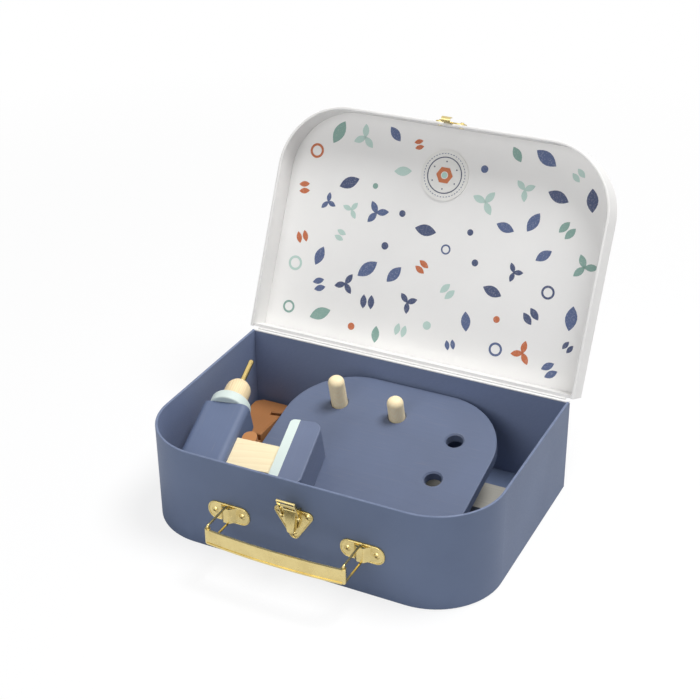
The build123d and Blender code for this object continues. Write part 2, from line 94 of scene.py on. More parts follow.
def cloud(tree, place, scale, detail=3.0, rough=0.5, bend=0.0):
    return addNode(tree, "ShaderNodeTexNoise", {
        "Vector": place, "Scale": scale, "Detail": detail, "Roughness": rough, "Distortion": bend}).outputs["Fac"]


def relief(tree, shader, height, strength, depth):
    bump = addNode(tree, "ShaderNodeBump", {"Height": height, "Strength": strength, "Distance": depth})
    tree.links.new(bump.outputs[0], shader.inputs["Normal"])


def edgeMask(tree, reach, gain):
    # 1 along sharp edges and 0 on the faces: how far the rounded normal leaves the true one
    rounded = addNode(tree, "ShaderNodeBevel", {"Radius": reach}, samples=4).outputs[0]
    true = addNode(tree, "ShaderNodeNewGeometry").outputs["Normal"]
    same = addNode(tree, "ShaderNodeVectorMath", {0: rounded, 1: true}, operation="DOT_PRODUCT").outputs["Value"]
    return remap(tree, same, 1.0, 1.0 - gain, 0.0, 1.0)


# covering paper on board

# a range gives what a pattern's value is at the two ends of its effect
paperFinish = {
    "mottle": 14.0,             # soft patches per metre
    "mottleRange": (0.3, 0.7),
    "baseShare": 0.55,          # how much of the plain colour lies over the patches
    "fibre": 1400.0,            # fibres per metre, and those that cross them
    "crossFibre": 980.0,
    "fibreTurn": (0.3, 0.2, 0.5),
    "crossTurn": (0.9, 0.4, 2.1),
    "fibreSlim": 0.18,          # a fibre's width by its length
    "crossSlim": 0.2,
    "speckRange": (0.75, 1.25),
    "speckShare": 0.16,         # how far the fibres lighten the colour
    # the spots that break up the painted highlight along the rim
    "glintSpots": 160.0,               # spots along the turned edge, per metre
    "glintSpotRange": (0.3, 0.75),
    "leastGlint": 0.35,
    "wearShare": 0.35,
    "wearReach": 0.0007,
    "wearGain": 0.25,
    "roughRange": (0.6, 1.4),
    "roughness": (0.46, 0.62),
    "gloss": 0.35,
    "bump": 0.22,
    "bumpDepth": 0.00006,
}

caseRim = {
    "foldStart": 0.0792,        # height at which the paper starts to turn over the board
    "foldEnd": 0.0799,
    "lapUp": 0.0788,            # the hinge's white paper lies above this
    "lapBack": 0.0929,          # and behind this, the back wall's inner face
}

paperTones = {
    "casePaper": {
        "base": tone(88, 102, 129), "light": tone(101, 115, 143), "dark": tone(81, 94, 121),
        # the rim's lighter tone is a painted highlight, and the inner faces' lighter tone is painted light
        "fold": tone(120, 131, 158), "inside": tone(124, 137, 168), "lap": tone(240, 239, 237),
    },
    "liningPaper": {"base": tone(88, 101, 128), "light": tone(98, 111, 138), "dark": tone(81, 94, 120)},
    "lidPaper": {"base": tone(229, 228, 226), "light": tone(236, 235, 233), "dark": tone(219, 218, 217)},
    "printPaper": {"base": tone(238, 237, 235), "light": tone(243, 242, 240), "dark": tone(230, 229, 228)},
    "patchPaper": {"base": tone(234, 233, 229), "light": tone(242, 241, 238), "dark": tone(220, 219, 215)},
    "hingePaper": {"base": tone(238, 237, 235), "light": tone(244, 243, 241), "dark": tone(224, 223, 222)},
}


def paper(name, moreWear=0.0):
    # soft mottling, crossed fibres and a satin surface, paler where its edges wear; on the case, a painted highlight
    # along the rim and painted light on the inner faces
    finish, tones = paperFinish, paperTones[name]
    material, tree, shader, place = startMaterial(name)
    mottle = cloud(tree, place, finish["mottle"], detail=4.0)
    fibre = cloud(tree, stretched(tree, place, finish["fibreTurn"], (1.0, finish["fibreSlim"], 1.0)),
                  finish["fibre"], detail=2.0)
    cross = cloud(tree, stretched(tree, place, finish["crossTurn"], (1.0, finish["crossSlim"], 1.0)),
                  finish["crossFibre"], detail=2.0)
    fibres = calc(tree, "ADD", fibre, cross)
    patches = remap(tree, mottle, *finish["mottleRange"], 0.0, 1.0)
    colour = blendColours(tree, patches, tones["dark"], tones["light"])
    colour = blendColours(tree, finish["baseShare"], colour, tones["base"])
    if "inside" in tones:
        # the inner faces, those that look towards the middle, are painted a lighter blue: painted light, standing in
        # for the light that reaches into the case
        normal = addNode(tree, "ShaderNodeNewGeometry").outputs["Normal"]
        outward = addNode(tree, "ShaderNodeVectorMath", {0: normal, 1: place}, operation="DOT_PRODUCT")
        paintedLightFaces = calc(tree, "LESS_THAN", outward.outputs["Value"], 0.0)
        colour = blendColours(tree, paintedLightFaces, colour, tones["inside"])
    speck = remap(tree, fibres, *finish["speckRange"], 0.0, finish["speckShare"])
    colour = blendColours(tree, speck, colour, tones["light"])
    if "fold" in tones:
        # a painted highlight along the turned edge, where the paper is folded over the board, broken into spots
        parts = addNode(tree, "ShaderNodeSeparateXYZ", {"Vector": place}).outputs
        spots = cloud(tree, place, finish["glintSpots"], detail=4.0)
        glintSpots = remap(tree, spots, *finish["glintSpotRange"], finish["leastGlint"], 1.0)
        line = remap(tree, parts["Z"], caseRim["foldStart"], caseRim["foldEnd"], 0.0, 1.0)
        colour = blendColours(tree, calc(tree, "MULTIPLY", line, glintSpots), colour, tones["fold"])
        # and the hinge's white paper laps over the rim of the back wall
        lap = calc(tree, "MULTIPLY", calc(tree, "GREATER_THAN", parts["Z"], caseRim["lapUp"]),
                   calc(tree, "GREATER_THAN", parts["Y"], caseRim["lapBack"]))
        colour = blendColours(tree, lap, colour, tones["lap"])
    wear = calc(tree, "MULTIPLY", edgeMask(tree, finish["wearReach"], finish["wearGain"]),
                finish["wearShare"] + moreWear)
    colour = blendColours(tree, wear, colour, tones["light"])
    tree.links.new(colour, shader.inputs["Base Color"])
    tree.links.new(remap(tree, fibres, *finish["roughRange"], *finish["roughness"]), shader.inputs["Roughness"])
    shader.inputs["Specular IOR Level"].default_value = finish["gloss"]
    relief(tree, shader, fibres, finish["bump"], finish["bumpDepth"])
    return material


casePaper = paper("casePaper")
liningPaper = paper("liningPaper")
lidPaper = paper("lidPaper")
printPaper = paper("printPaper")
patchPaper = paper("patchPaper")
hingePaper = paper("hingePaper", moreWear=0.2)


# bare and painted wood

woodFinish = {
    "ringSlim": 0.07,           # how far the rings are drawn out along the grain
    "drift": 22.0,              # slow waves of the grain, per metre
    "driftBend": 0.4,
    "driftReach": 0.03,
    "ringBend": 1.6,
    "ringRange": (0.1, 1.0),
    "ringShare": 0.75,
    "ringRelief": 0.3,
    "pore": 1500.0,             # pores per metre
    "poreSlim": 0.03,
    "poreRange": (0.55, 0.8),
    "poreShare": 0.45,
    "coat": 20.0,               # patches of thicker and thinner paint, per metre
    "coatRange": (0.3, 0.7),
    "coatShade": (0.94, 1.05),
    "openRange": (0.6, 0.85),
    "openPores": 0.9,           # what paint keeps of its cover over a pore
    "chips": 90.0,              # worn spots along the edges, per metre
    "chipRange": (0.45, 0.7),
    "chipShare": 0.35,
    "chipReach": 0.0008,
    "chipGain": 0.3,
    "roughRange": (0.3, 0.8),
    "roughness": (0.44, 0.6),
    "gloss": 0.4,
    "bareBump": 0.25,
    "paintBump": 0.16,
    "bumpDepth": 0.00008,
}


def wood(name, tones, turn, rings, paint=None, cover=0.0):
    # grain runs along the turned X axis; paint covers it by a share and lets the grain's relief show
    finish = woodFinish
    pale, mid, dark = tones
    material, tree, shader, place = startMaterial(name)
    along = stretched(tree, place, turn, (finish["ringSlim"], 1.0, 1.0))
    drift = cloud(tree, along, finish["drift"], detail=2.0, bend=finish["driftBend"])
    sway = addNode(tree, "ShaderNodeVectorMath", {
        0: along, 1: scaledVector(tree, (finish["driftReach"],) * 3, drift)}, operation="ADD").outputs[0]
    bands = addNode(tree, "ShaderNodeTexWave", {
        "Vector": sway, "Scale": rings, "Distortion": finish["ringBend"], "Detail": 2.0, "Detail Scale": 1.5},
        wave_type="RINGS", rings_direction="X", wave_profile="SAW").outputs["Fac"]
    pores = cloud(tree, stretched(tree, place, turn, (finish["poreSlim"], 1.0, 1.0)), finish["pore"], rough=0.6)
    ringed = remap(tree, bands, *finish["ringRange"], 0.0, finish["ringShare"])
    colour = blendColours(tree, ringed, pale, mid)
    pored = remap(tree, pores, *finish["poreRange"], 0.0, finish["poreShare"])
    colour = blendColours(tree, pored, colour, dark)
    if paint:
        coat = remap(tree, cloud(tree, place, finish["coat"]), *finish["coatRange"], *finish["coatShade"])
        shown = calc(tree, "MULTIPLY", remap(tree, pores, *finish["openRange"], 1.0, finish["openPores"]), cover)
        colour = blendColours(tree, shown, colour, scaledVector(tree, paint[:3], coat))
        chips = remap(tree, cloud(tree, place, finish["chips"]), *finish["chipRange"], 0.0, finish["chipShare"])
        worn = calc(tree, "MULTIPLY", edgeMask(tree, finish["chipReach"], finish["chipGain"]), chips)
        colour = blendColours(tree, worn, colour, pale)
    tree.links.new(colour, shader.inputs["Base Color"])
    tree.links.new(remap(tree, pores, *finish["roughRange"], *finish["roughness"]), shader.inputs["Roughness"])
    shader.inputs["Specular IOR Level"].default_value = finish["gloss"]
    height = calc(tree, "MULTIPLY_ADD", bands, finish["ringRelief"], pores)
    relief(tree, shader, height, finish["paintBump"] if paint else finish["bareBump"], finish["bumpDepth"])
    return material


woodTones = (tone(246, 226, 186), tone(232, 205, 158), tone(196, 160, 110))
lean = math.radians(-14)        # the slope of the bench board, which the drill shares
boardTurn = (lean, 0.0, 0.0)
drillTurn = (lean, 0.0, math.radians(-10.2))
barrelTurn = (lean, 0.0, math.radians(79.8))
alongX = (0.0, 0.0, 0.0)
alongY = (0.0, 0.0, math.radians(90))
upright = (0.0, math.radians(90), 0.0)


def painted(name, turn, rings, paint, cover=0.97):
    return wood(name, woodTones, turn, rings, paint, cover)


boardBlue = painted("boardBlue", boardTurn, 90.0, tone(83, 98, 128))
barrelBlue = painted("barrelBlue", barrelTurn, 120.0, tone(87, 104, 137))
batteryBlue = painted("batteryBlue", barrelTurn, 120.0, tone(95, 109, 139))
mintPaint = painted("mintPaint", drillTurn, 110.0, tone(214, 228, 224))
rustPaint = painted("rustPaint", alongY, 120.0, tone(166, 105, 55), 0.94)
triggerRust = painted("triggerRust", drillTurn, 140.0, tone(176, 114, 60), 0.94)
malletBlue = painted("malletBlue", alongX, 120.0, tone(87, 104, 137))
gripWood = wood("gripWood", (tone(250, 234, 196), tone(243, 224, 183), tone(222, 194, 146)), drillTurn, 210.0)
chuckWood = wood("chuckWood", woodTones, barrelTurn, 200.0)
pegWood = wood("pegWood", (tone(255, 238, 198), tone(252, 228, 182), tone(236, 206, 156)), upright, 260.0)
battenWood = wood("battenWood", (tone(167, 161, 149), tone(152, 146, 134), tone(120, 114, 103)), alongX, 150.0,
                  tone(156, 156, 151), 0.5)
malletHandleWood = wood("malletHandleWood", (tone(240, 222, 184), tone(226, 202, 160), tone(186, 154, 108)),
                        alongY, 200.0)


# rolled sheet metal

metalFinish = {
    "tarnish": 60.0,            # dull spots per metre
    "tarnishRange": (0.4, 0.75),
    "tarnishShare": 0.5,
    "lines": 2600.0,            # draw lines per metre
    "lineSlim": 0.05,
    "lineRelief": 0.4,
    # a paler, bluer copy of the colour for sharp edges: a painted highlight
    "brighter": (1.2, 1.2, 1.35),
    "brightShare": 0.25,
    "brightReach": 0.0004,
    "brightGain": 0.4,
    "roughRange": (0.3, 0.8),
    "roughSpread": 0.14,
    "bump": 0.07,
    "bumpDepth": 0.00004,
}


def metal(name, base, deep, rough):
    # faint draw lines, a little tarnish in patches, and a painted highlight along the sharp edges
    finish = metalFinish
    material, tree, shader, place = startMaterial(name)
    tarnish = cloud(tree, place, finish["tarnish"], detail=4.0, rough=0.6)
    lines = cloud(tree, stretched(tree, place, alongX, (finish["lineSlim"], 1.0, 1.0)), finish["lines"], detail=2.0)
    dulled = remap(tree, tarnish, *finish["tarnishRange"], 0.0, finish["tarnishShare"])
    colour = blendColours(tree, dulled, base, deep)
    # sharp edges are painted paler and bluer: a painted highlight
    paintedEdgeHighlight = tuple(min(part * more, 1) for part, more in zip(base, finish["brighter"])) + (1,)
    shown = calc(tree, "MULTIPLY", edgeMask(tree, finish["brightReach"], finish["brightGain"]), finish["brightShare"])
    tree.links.new(blendColours(tree, shown, colour, paintedEdgeHighlight), shader.inputs["Base Color"])
    shader.inputs["Metallic"].default_value = 1.0
    tree.links.new(remap(tree, tarnish, *finish["roughRange"], rough, rough + finish["roughSpread"]),
                   shader.inputs["Roughness"])
    height = calc(tree, "MULTIPLY_ADD", lines, finish["lineRelief"], tarnish)
    relief(tree, shader, height, finish["bump"], finish["bumpDepth"])
    return material


brass = metal("brass", (0.70, 0.58, 0.27, 1), (0.50, 0.38, 0.15, 1), 0.2)
# a dark copy of brass for the floors of the rivets' hollows: painted shade
hollowShadeBrass = metal("hollowShadeBrass", (0.20, 0.155, 0.07, 1), (0.12, 0.09, 0.04, 1), 0.34)
gold = metal("gold", (0.74, 0.56, 0.22, 1), (0.52, 0.36, 0.12, 1), 0.16)
print("finishes made")


# every solid gets its finish

finishOf = {
    casePaper: ["base_wall"],
    liningPaper: ["base_floor", "floor_lining"],
    lidPaper: ["lid_wall", "lid_panel"],
    printPaper: ["lid_lining"],
    patchPaper: ["lid_patch"],
    hingePaper: ["base_hinge_leaf", "lid_hinge_leaf"],
    brass: ["catch_plate", "catch_rivets", "left_saddle", "right_saddle", "saddle_rivets", "left_link", "right_link",
            "handle_strip", "latch_plate", "latch_rivets", "lever_pin", "latch_lever", "bail_pin", "latch_bail"],
    boardBlue: ["bench_board"],
    pegWood: ["left_peg", "right_peg", "chuck_axle", "drill_dowels"],
    battenWood: ["batten"],
    malletBlue: ["mallet_head"],
    malletHandleWood: ["mallet_handle"],
    rustPaint: ["spanner"],
    barrelBlue: ["drill_barrel"],
    mintPaint: ["drill_collar", "battery_plate"],
    chuckWood: ["drill_chuck"],
    gold: ["drill_bit"],
    gripWood: ["drill_grip"],
    triggerRust: ["drill_trigger"],
    batteryBlue: ["battery_block"],
}
for material, nodes in finishOf.items():
    for node in nodes:
        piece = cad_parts[node]
        if not piece.material_slots:
            piece.data.materials.append(material)
        for materialSlot in piece.material_slots:
            materialSlot.material = material
print("solids dressed")


# helpers for Geometry Nodes trees and the plain meshes they leave

def newTree(name, inputs):
    # a tree with a geometry input, named inputs with their kinds, and a geometry output
    tree = bpy.data.node_groups.new(name, "GeometryNodeTree")
    tree.interface.new_socket("Geometry", in_out="INPUT", socket_type="NodeSocketGeometry")
    identifiers = {}
    for label, kind in inputs.items():
        identifiers[label] = tree.interface.new_socket(
            label, in_out="INPUT", socket_type="NodeSocket" + kind).identifier
    tree.interface.new_socket("Geometry", in_out="OUTPUT", socket_type="NodeSocketGeometry")
    start = tree.nodes.new("NodeGroupInput").outputs
    return tree, start, identifiers


def closeTree(tree, geometry, material):
    realized = addNode(tree, "GeometryNodeRealizeInstances", {"Geometry": geometry}).outputs[0]
    finished = addNode(tree, "GeometryNodeSetMaterial", {"Geometry": realized, "Material": material}).outputs[0]
    addNode(tree, "NodeGroupOutput", {0: finished})


def meshObject(name, points, edges=(), faces=()):
    mesh = bpy.data.meshes.new(name)
    mesh.from_pydata(points, edges, faces)
    mesh.update()
    piece = bpy.data.objects.new(name, mesh)
    bpy.context.scene.collection.objects.link(piece)
    return piece


def keepResult(piece, place):
    # what the modifier makes becomes the piece's own plain mesh, put in its place
    graph = bpy.context.evaluated_depsgraph_get()
    graph.update()
    mesh = bpy.data.meshes.new_from_object(piece.evaluated_get(graph))
    piece.modifiers.clear()
    piece.data = mesh
    mesh.transform(place)


def runTree(piece, tree, identifiers, values, place, smooth=True):
    modifier = piece.modifiers.new("nodes", "NODES")
    modifier.node_group = tree
    for label, value in values.items():
        modifier[identifiers[label]] = value
    keepResult(piece, place)
    piece.data.polygons.foreach_set("use_smooth", [smooth] * len(piece.data.polygons))
    piece.data.update()


def placeOn(piece, body):
    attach(piece, body)


def circlePoint(centre, radius, angle):
    return (centre[0] + radius * math.cos(angle), centre[1] + radius * math.sin(angle))


def roundLoop(centre, radius, count):
    return [circlePoint(centre, radius, 2 * math.pi * i / count) for i in range(count)]


# where the open lid is, as the solids have it

lidHinge = {
    "back": 96.2,
    "up": 80.15,
    "open": -115.0,             # degrees from shut
}
hingeLine = Vector((0, lidHinge["back"], lidHinge["up"])) * mm
lidOpen = (Matrix.Translation(hingeLine) @ Matrix.Rotation(math.radians(lidHinge["open"]), 4, "X")
           @ Matrix.Translation(-hingeLine))
placeOf = {"case": Matrix.Identity(4), "lid": lidOpen}


def insideLid(x, y, height):
    # a flat drawing's place on the inside of the lid: X stays, Y runs from the hinge to the front
    shut = Matrix.Translation(Vector((x, y, height)) * mm) @ Matrix.Rotation(math.pi, 4, "X")
    return lidOpen @ shut


# the printed lining: seeds, sprigs, dots and rings, scattered with a fixed seed

printDesign = {
    "halfWidth": 125.8,
    "front": 83.8,              # how far the print runs towards the lid's front, from its middle
    "back": -82.8,
    "corner": 46.0,
    "cornerSteps": 14,
    "face": 98.8,               # height of the lining sheet's face in the shut lid
    "lift": 0.07,
    "spacing": 22.5,
    "densest": 90000.0,         # points per square metre before they are spaced out
    "smallest": 5.5,
    "largest": 8.5,
    "patchClear": 28.0,
    "patchAcross": -3.2,
    "patchFront": 57.1,
    "seed": 11,
    "kindSeed": 3,
    "turnSeed": 5,
    "sizeSeed": 7,
    "inkSeed": 9,
}

# shapes of the print, in shares of a print's size
shapeDesign = {
    "seedLong": 1.25,
    "seedWide": 0.62,
    "seedCorners": 20,
    "leafLong": 0.72,
    "leafWide": 0.36,
    "leafCorners": 16,
    "sprigUp": 0.72,
    "sprigOut": 0.62,
    "sprigDown": -0.12,
    "sprigTurn": 20.0,
    "dot": 0.42,
    "dotCorners": 18,
    "hoop": 0.62,
    "hoopWide": 0.24,
    "hoopCorners": 28,
    "pairGap": 0.42,
}

inkDesign = {
    "grain": 900.0,             # specks per metre
    "thinRange": (0.5, 0.85),
    "thin": 0.28,               # how far the sheet shows through
    "sheet": tone(230, 229, 227),
    "roughRange": (0.3, 0.7),
    "roughness": (0.5, 0.66),
    "bump": 0.2,
    "bumpDepth": 0.00004,
    "inks": [                   # each ink with where its share starts
        (0.0, tone(58, 70, 106)),
        (0.24, tone(190, 102, 58)),
        (0.44, tone(128, 162, 152)),
        (0.62, tone(76, 92, 132)),
        (0.82, tone(182, 207, 199)),
    ],
}


def printOutline():
    # a plan with two round corners at its far end
    half, front, corner = printDesign["halfWidth"], printDesign["front"], printDesign["corner"]
    back, steps = printDesign["back"], printDesign["cornerSteps"]
    points = [(-half, back), (half, back)]
    for centre, start in (((half - corner, front - corner), 0.0), ((corner - half, front - corner), 90.0)):
        for step in range(steps + 1):
            points.append(circlePoint(centre, corner, math.radians(start + 90.0 * step / steps)))
    return points


def inkFinish():
    design = inkDesign
    material, tree, shader, place = startMaterial("printInk")
    ink = addNode(tree, "ShaderNodeAttribute", attribute_name="ink").outputs["Fac"]
    ramp = addNode(tree, "ShaderNodeValToRGB", {0: ink})
    ramp.color_ramp.interpolation = "CONSTANT"
    for number, (position, colour) in enumerate(design["inks"]):
        # a new ramp already has two stops
        stop = ramp.color_ramp.elements[number] if number < 2 else ramp.color_ramp.elements.new(position)
        stop.position, stop.color = position, colour
    grain = cloud(tree, place, design["grain"])
    thin = remap(tree, grain, *design["thinRange"], 0.0, design["thin"])
    tree.links.new(blendColours(tree, thin, ramp.outputs[0], design["sheet"]), shader.inputs["Base Color"])
    tree.links.new(remap(tree, grain, *design["roughRange"], *design["roughness"]), shader.inputs["Roughness"])
    relief(tree, shader, grain, design["bump"], design["bumpDepth"])
    return material


def filledCircle(tree, radius, corners):
    return addNode(tree, "GeometryNodeMeshCircle", {"Vertices": corners, "Radius": radius},
                   fill_type="NGON").outputs[0]


def seedShape(tree, length, width, corners):
    # a pointed oval: a circle whose sides are drawn in towards its two tips
    circle = filledCircle(tree, 1.0, corners)
    parts = addNode(tree, "ShaderNodeSeparateXYZ", {0: addNode(tree, "GeometryNodeInputPosition").outputs[0]}).outputs
    side = calc(tree, "MULTIPLY", parts["Y"], calc(tree, "ABSOLUTE", parts["Y"]))
    spot = addNode(tree, "ShaderNodeCombineXYZ", {
        "X": calc(tree, "MULTIPLY", parts["X"], length), "Y": calc(tree, "MULTIPLY", side, width)}).outputs[0]
    return addNode(tree, "GeometryNodeSetPosition", {"Geometry": circle, "Position": spot}).outputs[0]


def flatRing(tree, radius, width, corners):
    path = addNode(tree, "GeometryNodeCurvePrimitiveCircle", {"Resolution": corners, "Radius": radius}).outputs[0]
    across = addNode(tree, "GeometryNodeCurvePrimitiveLine", {
        "Start": (-width / 2, 0, 0), "End": (width / 2, 0, 0)}).outputs[0]
    return addNode(tree, "GeometryNodeCurveToMesh", {"Curve": path, "Profile Curve": across}).outputs[0]


def moved(tree, geometry, x, y, turn=0.0):
    return addNode(tree, "GeometryNodeTransform", {
        "Geometry": geometry, "Translation": (x, y, 0), "Rotation": (0, 0, math.radians(turn))}).outputs[0]


def joined(tree, *parts):
    # a join puts its last link first, so the parts are linked backwards to keep their order
    join = tree.nodes.new("GeometryNodeJoinGeometry")
    for part in reversed(parts):
        tree.links.new(part, join.inputs[0])
    return join.outputs[0]


def randomFloat(tree, low, high, seed):
    return addNode(tree, "FunctionNodeRandomValue", {"Min": low, "Max": high, "Seed": seed},
                   data_type="FLOAT").outputs[1]


def printShapes(tree):
    shape = shapeDesign
    seed = seedShape(tree, shape["seedLong"], shape["seedWide"], shape["seedCorners"])
    leaf = seedShape(tree, shape["leafLong"], shape["leafWide"], shape["leafCorners"])
    sprig = joined(tree, moved(tree, leaf, 0, shape["sprigUp"], 90.0),
                   moved(tree, leaf, shape["sprigOut"], shape["sprigDown"], -shape["sprigTurn"]),
                   moved(tree, leaf, -shape["sprigOut"], shape["sprigDown"], shape["sprigTurn"]))
    dot = filledCircle(tree, shape["dot"], shape["dotCorners"])
    hoop = flatRing(tree, shape["hoop"], shape["hoopWide"], shape["hoopCorners"])
    pair = joined(tree, moved(tree, leaf, 0, shape["pairGap"]), moved(tree, leaf, 0, -shape["pairGap"]))
    return [seed, sprig, dot, hoop, pair, seed]     # seeds come twice as often as the rest


def printTree():
    design = printDesign
    tree, start, identifiers = newTree("scatteredPrint", {
        "Spacing": "Float", "Smallest": "Float", "Largest": "Float", "Keep clear": "Float", "Clear centre": "Vector",
        "Seed": "Int", "Material": "Material"})
    spread = addNode(tree, "GeometryNodeDistributePointsOnFaces", {
        "Mesh": start["Geometry"], "Distance Min": start["Spacing"], "Density Max": design["densest"],
        "Seed": start["Seed"]}, distribute_method="POISSON").outputs["Points"]
    away = addNode(tree, "ShaderNodeVectorMath", {
        0: addNode(tree, "GeometryNodeInputPosition").outputs[0], 1: start["Clear centre"]}, operation="DISTANCE")
    near = calc(tree, "LESS_THAN", away.outputs["Value"], start["Keep clear"])
    points = addNode(tree, "GeometryNodeDeleteGeometry", {
        "Geometry": spread, "Selection": near}, domain="POINT").outputs[0]
    shapes = printShapes(tree)
    kinds = joined(tree, *[addNode(tree, "GeometryNodeGeometryToInstance", {0: shape}).outputs[0]
                           for shape in shapes])
    pick = addNode(tree, "FunctionNodeRandomValue", {
        "Min": 0, "Max": len(shapes) - 1, "Seed": design["kindSeed"]}, data_type="INT").outputs[2]
    angle = addNode(tree, "ShaderNodeCombineXYZ", {
        "Z": randomFloat(tree, 0.0, 2 * math.pi, design["turnSeed"])}).outputs[0]
    placed = addNode(tree, "GeometryNodeInstanceOnPoints", {
        "Points": points, "Instance": kinds, "Pick Instance": True, "Instance Index": pick, "Rotation": angle,
        "Scale": randomFloat(tree, start["Smallest"], start["Largest"], design["sizeSeed"])}).outputs[0]
    named = addNode(tree, "GeometryNodeStoreNamedAttribute", {
        "Geometry": placed, "Name": "ink", "Value": randomFloat(tree, 0.0, 1.0, design["inkSeed"])},
        data_type="FLOAT", domain="INSTANCE").outputs[0]
    closeTree(tree, named, start["Material"])
    return tree, identifiers


def makePrint():
    design = printDesign
    outline = printOutline()
    piece = meshObject("lidPrint", [(x * mm, y * mm, 0) for x, y in outline], faces=[range(len(outline))])
    tree, identifiers = printTree()
    runTree(piece, tree, identifiers, {
        "Spacing": design["spacing"] * mm, "Smallest": design["smallest"] * mm, "Largest": design["largest"] * mm,
        "Keep clear": design["patchClear"] * mm, "Seed": design["seed"],
        "Clear centre": (design["patchAcross"] * mm, design["patchFront"] * mm, 0), "Material": inkFinish(),
    }, insideLid(0, 0, design["face"] - design["lift"]), smooth=False)
    placeOn(piece, "lid")
    print("print", len(piece.data.polygons), "faces")


makePrint()


# the patch: a dashed stitch, a dark ring and a plain nut

patchDesign = {
    "face": 97.9,               # height of the patch's face in the shut lid
    "stitchRadius": 17.6,
    "stitches": 44,
    "stitchLong": 1.5,
    "stitchWide": 0.34,
    "stitchEnd": 0.08,          # how far a stitch's end is from a point, as a share of its length
    "stitchRings": 7,
    "stitchSides": 8,
    "roundSteps": 96,           # points of the circle that the stitches follow
    "ringRadius": 14.6,
    "ringWide": 0.8,
    "ringThick": 0.12,
    "ringCorners": 64,
    "nutRadius": 7.2,
    "nutHole": 3.1,
    "nutThick": 0.16,
    "nutCorners": 60,
    "boltGap": 0.7,
    "boltThick": 0.14,
    "boltCorners": 32,
    "dotRing": 11.2,
    "dots": 6,
    "dotRadius": 0.62,
    "dotCorners": 16,
}

threadFinish = {
    "weave": 900.0,             # threads per metre
    "weaveBend": 2.0,
    "fuzz": 1200.0,
    "paleRange": (0.0, 0.6),
    "paleShare": 0.35,
    "paleTimes": 1.5,
    "paleMore": 0.02,
    "roughRange": (0.2, 0.8),
    "roughness": (0.55, 0.75),
    "bump": 0.3,
    "bumpDepth": 0.00006,
}


def threadInk(name, colour):
    # flat embroidery: a close weave with a little fuzz
    finish = threadFinish
    material, tree, shader, place = startMaterial(name)
    weave = addNode(tree, "ShaderNodeTexWave", {
        "Vector": place, "Scale": finish["weave"], "Distortion": finish["weaveBend"]}).outputs["Fac"]
    fuzz = cloud(tree, place, finish["fuzz"], detail=2.0)
    shade = remap(tree, calc(tree, "MULTIPLY", weave, fuzz), *finish["paleRange"], 0.0, finish["paleShare"])
    pale = tuple(min(part * finish["paleTimes"] + finish["paleMore"], 1) for part in colour[:3]) + (1,)
    tree.links.new(blendColours(tree, shade, colour, pale), shader.inputs["Base Color"])
    tree.links.new(remap(tree, fuzz, *finish["roughRange"], *finish["roughness"]), shader.inputs["Roughness"])
    relief(tree, shader, weave, finish["bump"], finish["bumpDepth"])
    return material


def stitchTree():
    # short threads, thicker in the middle, laid end to end round a circle
    design = patchDesign
    end = design["stitchEnd"]
    tree, start, identifiers = newTree("stitchRing", {
        "Radius": "Float", "Count": "Int", "Length": "Float", "Width": "Float", "Material": "Material"})
    circle = addNode(tree, "GeometryNodeCurvePrimitiveCircle", {
        "Resolution": design["roundSteps"], "Radius": start["Radius"]}).outputs[0]
    points = addNode(tree, "GeometryNodeCurveToPoints", {"Curve": circle, "Count": start["Count"]}).outputs
    thread = addNode(tree, "GeometryNodeCurvePrimitiveLine", {"Start": (0, 0, -0.5), "End": (0, 0, 0.5)}).outputs[0]
    thread = addNode(tree, "GeometryNodeResampleCurve", {
        "Curve": thread, "Count": design["stitchRings"]}).outputs[0]
    along = addNode(tree, "GeometryNodeSplineParameter").outputs[0]
    swell = calc(tree, "SINE", calc(tree, "MULTIPLY_ADD", along, math.pi * (1 - 2 * end), math.pi * end))
    section = addNode(tree, "GeometryNodeCurvePrimitiveCircle", {
        "Resolution": design["stitchSides"], "Radius": 1.0}).outputs[0]
    stitch = addNode(tree, "GeometryNodeCurveToMesh", {
        "Curve": thread, "Profile Curve": section, "Scale": swell, "Fill Caps": True}).outputs[0]
    size = addNode(tree, "ShaderNodeCombineXYZ", {
        "X": start["Width"], "Y": start["Width"], "Z": start["Length"]}).outputs[0]
    placed = addNode(tree, "GeometryNodeInstanceOnPoints", {
        "Points": points["Points"], "Instance": stitch, "Rotation": points["Rotation"], "Scale": size}).outputs[0]
    closeTree(tree, placed, start["Material"])
    return tree, identifiers


def flatShape(name, outer, inner, material, thick, place):
    # a filled outline, or the band between two, lying on the patch
    count = len(outer)
    points = [(x * mm, y * mm, thick * mm) for x, y in outer + inner]
    faces = [tuple(range(count))]
    if inner:
        faces = [(i, (i + 1) % count, count + (i + 1) % count, count + i) for i in range(count)]
    piece = meshObject(name, points, faces=faces)
    solid = piece.modifiers.new("thick", "SOLIDIFY")
    solid.thickness, solid.offset = thick * mm, -1.0
    keepResult(piece, place)
    piece.data.materials.append(material)
    placeOn(piece, "lid")


def hexagon(radius, count):
    # many points along six straight sides, to match those of the round hole
    points = []
    for i in range(count):
        angle = 2 * math.pi * i / count
        side = math.cos(math.pi / 6) / math.cos((angle % (math.pi / 3)) - math.pi / 6)
        points.append(circlePoint((0, 0), radius * side, angle))
    return points


